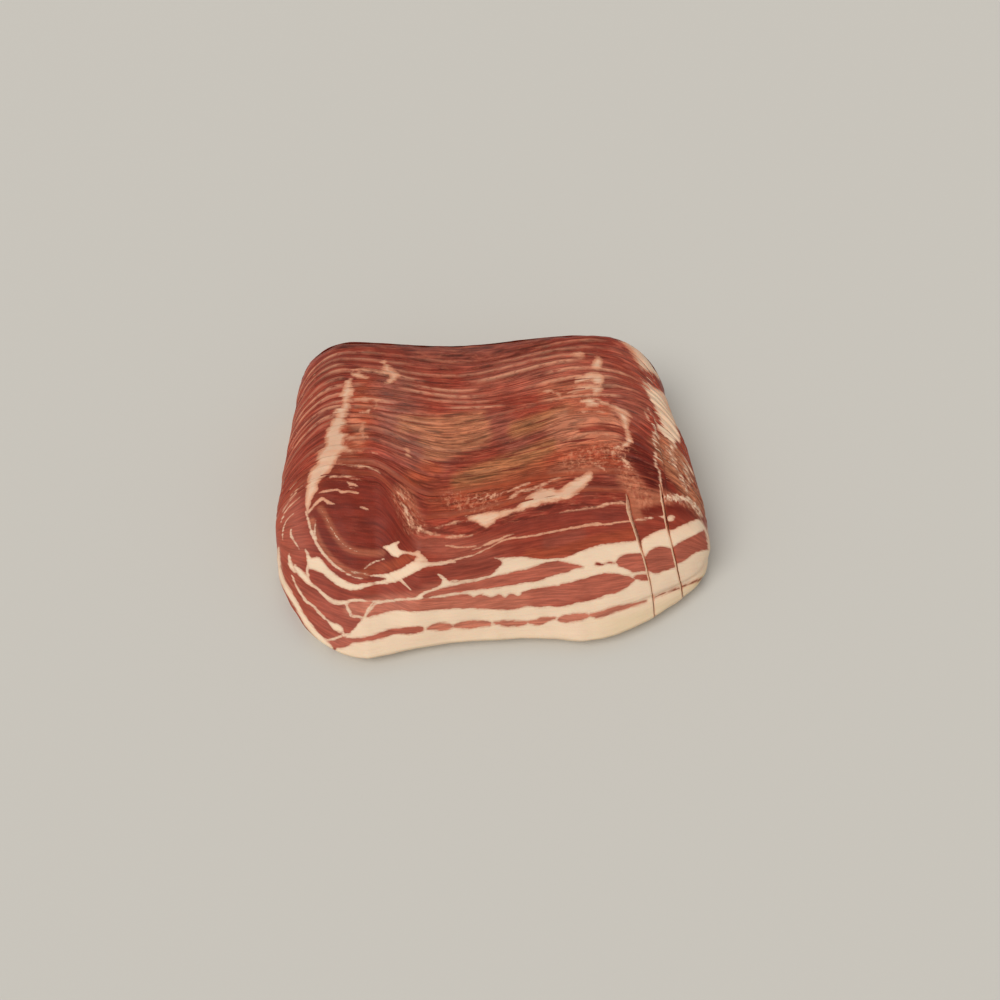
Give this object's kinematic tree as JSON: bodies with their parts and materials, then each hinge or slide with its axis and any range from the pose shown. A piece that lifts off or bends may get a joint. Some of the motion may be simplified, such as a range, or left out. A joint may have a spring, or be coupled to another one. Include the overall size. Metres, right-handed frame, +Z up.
{
  "type": "sliced smoked pork belly",
  "caption": "Slab of smoked pork belly cut into thin slices that lie leaning on each other in the shape of the whole, with an uncut end at the back.",
  "frame": {"origin": "on the ground under the middle of the bounding box", "axes": "+X along the slices, +Y from the front cut face towards the uncut end, +Z up"},
  "size_m": [0.228, 0.184, 0.0533],
  "materials": {
    "smoked_meat": "moist smoked lean meat, red-brown, streaked with cream fat, soft satin gloss"
  },
  "bodies": {
    "root": {"slice_01": "smoked_meat", "slice_02": "smoked_meat", "slice_03": "smoked_meat", "slice_04": "smoked_meat", "slice_05": "smoked_meat", "slice_06": "smoked_meat", "slice_07": "smoked_meat", "slice_08": "smoked_meat", "slice_09": "smoked_meat", "slice_10": "smoked_meat", "slice_11": "smoked_meat", "slice_12": "smoked_meat", "slice_13": "smoked_meat", "slice_14": "smoked_meat", "slice_15": "smoked_meat", "slice_16": "smoked_meat", "slice_17": "smoked_meat", "uncut_end": "smoked_meat"}
  },
  "joints": []
}
